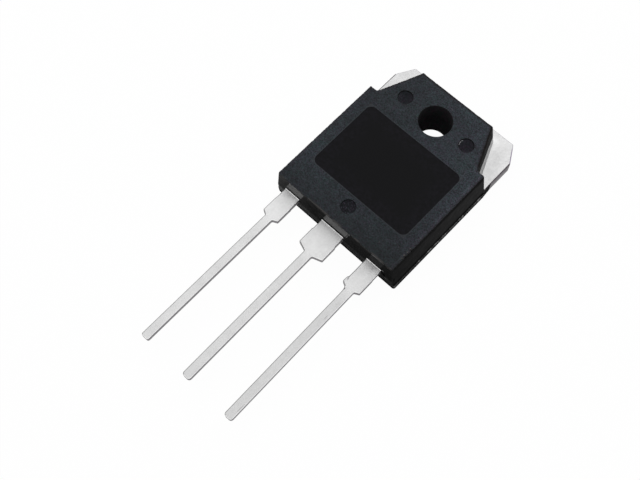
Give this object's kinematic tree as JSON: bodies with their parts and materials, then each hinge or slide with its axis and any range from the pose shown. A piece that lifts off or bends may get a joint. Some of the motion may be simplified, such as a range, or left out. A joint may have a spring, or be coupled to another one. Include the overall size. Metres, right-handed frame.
{
  "type": "igbt transistor",
  "caption": "Flat moulded power transistor with a row of long metal leads, bare metal tab corners and a plain hole for screwing it to a heatsink.",
  "frame": {"origin": "on the axis of the mounting hole, in the plane of the back face", "axes": "+Z from the back face to the marked face, +Y from the leads towards the tab, +X from the gate lead to the emitter lead"},
  "size_m": [0.0158, 0.0399, 0.0048],
  "materials": {
    "epoxy": "matte black epoxy moulding compound, fine spark-eroded texture",
    "tinned_copper": "matte tin plate over copper",
    "silicon": "silicon chip with a metallised top",
    "solder": "soft solder",
    "bond_wire": "bright aluminium wire"
  },
  "bodies": {
    "root": {"moulded_body": "epoxy", "collector_frame": "tinned_copper", "gate_lead": "tinned_copper", "emitter_lead": "tinned_copper", "igbt_die": "silicon", "die_solder": "solder", "gate_bond_wire": "bond_wire", "emitter_bond_wires": "bond_wire"}
  },
  "joints": []
}
